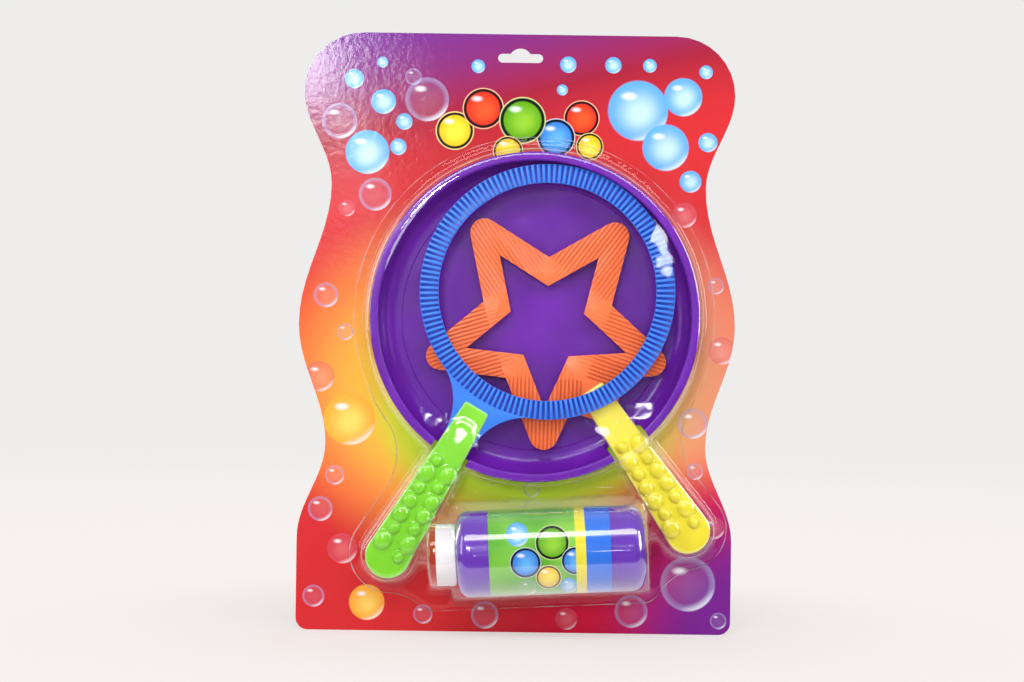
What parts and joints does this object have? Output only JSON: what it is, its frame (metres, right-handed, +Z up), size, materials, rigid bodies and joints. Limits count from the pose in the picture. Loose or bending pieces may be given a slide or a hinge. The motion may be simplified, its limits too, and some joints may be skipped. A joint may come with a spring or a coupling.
{
  "type": "carded bubble wand set",
  "caption": "Carded bubble wand set: a wavy printed hang card with a clear formed blister over a dip dish, a ridged ring wand, a ridged star wand and a bottle of bubble liquid with a screw cap.",
  "frame": {"origin": "centre of the hang slot's straight band, on the card's back face", "axes": "+Z up the card, +X to the right seen from the front, front faces -Y"},
  "size_m": [0.31, 0.0621, 0.425],
  "materials": {
    "printed_card": "gloss print on the front, plain board on the back",
    "clear_blister": "clear thermoformed sheet",
    "dish_plastic": "satin moulded",
    "ring_plastic": "satin moulded",
    "green_grip": "satin moulded",
    "star_plastic": "satin moulded",
    "yellow_grip": "satin moulded",
    "bottle_plastic": "glossy blown",
    "label_film": "gloss print",
    "seal_foil": "satin",
    "liner_foam": "matte",
    "cap_plastic": "satin moulded"
  },
  "bodies": {
    "pack": {"backing_card": "printed_card", "blister": "clear_blister", "dip_dish": "dish_plastic", "ring_head": "ring_plastic", "ring_handle": "green_grip", "star_head": "star_plastic", "star_handle": "yellow_grip", "bottle_body": "bottle_plastic", "bottle_label": "label_film", "foil_seal": "seal_foil"},
    "liner": {"cap_liner": "liner_foam"},
    "cap": {"bottle_cap": "cap_plastic"}
  },
  "joints": [
    {"name": "cap_rise", "type": "slide", "parent": "pack", "child": "liner", "axis": [-0.9986, 0, -0.0523], "range_m": [0, 0.0046]},
    {"name": "cap_turn", "type": "hinge", "parent": "liner", "child": "cap", "pos_m": [0.0257, -0.0309, -0.3466], "axis": [-0.9986, 0, -0.0523], "range_deg": [0, 540]}
  ],
  "couplings": [
    {"joint": "cap_rise", "follows": "cap_turn", "m_per_rad": 0.00047746}
  ]
}
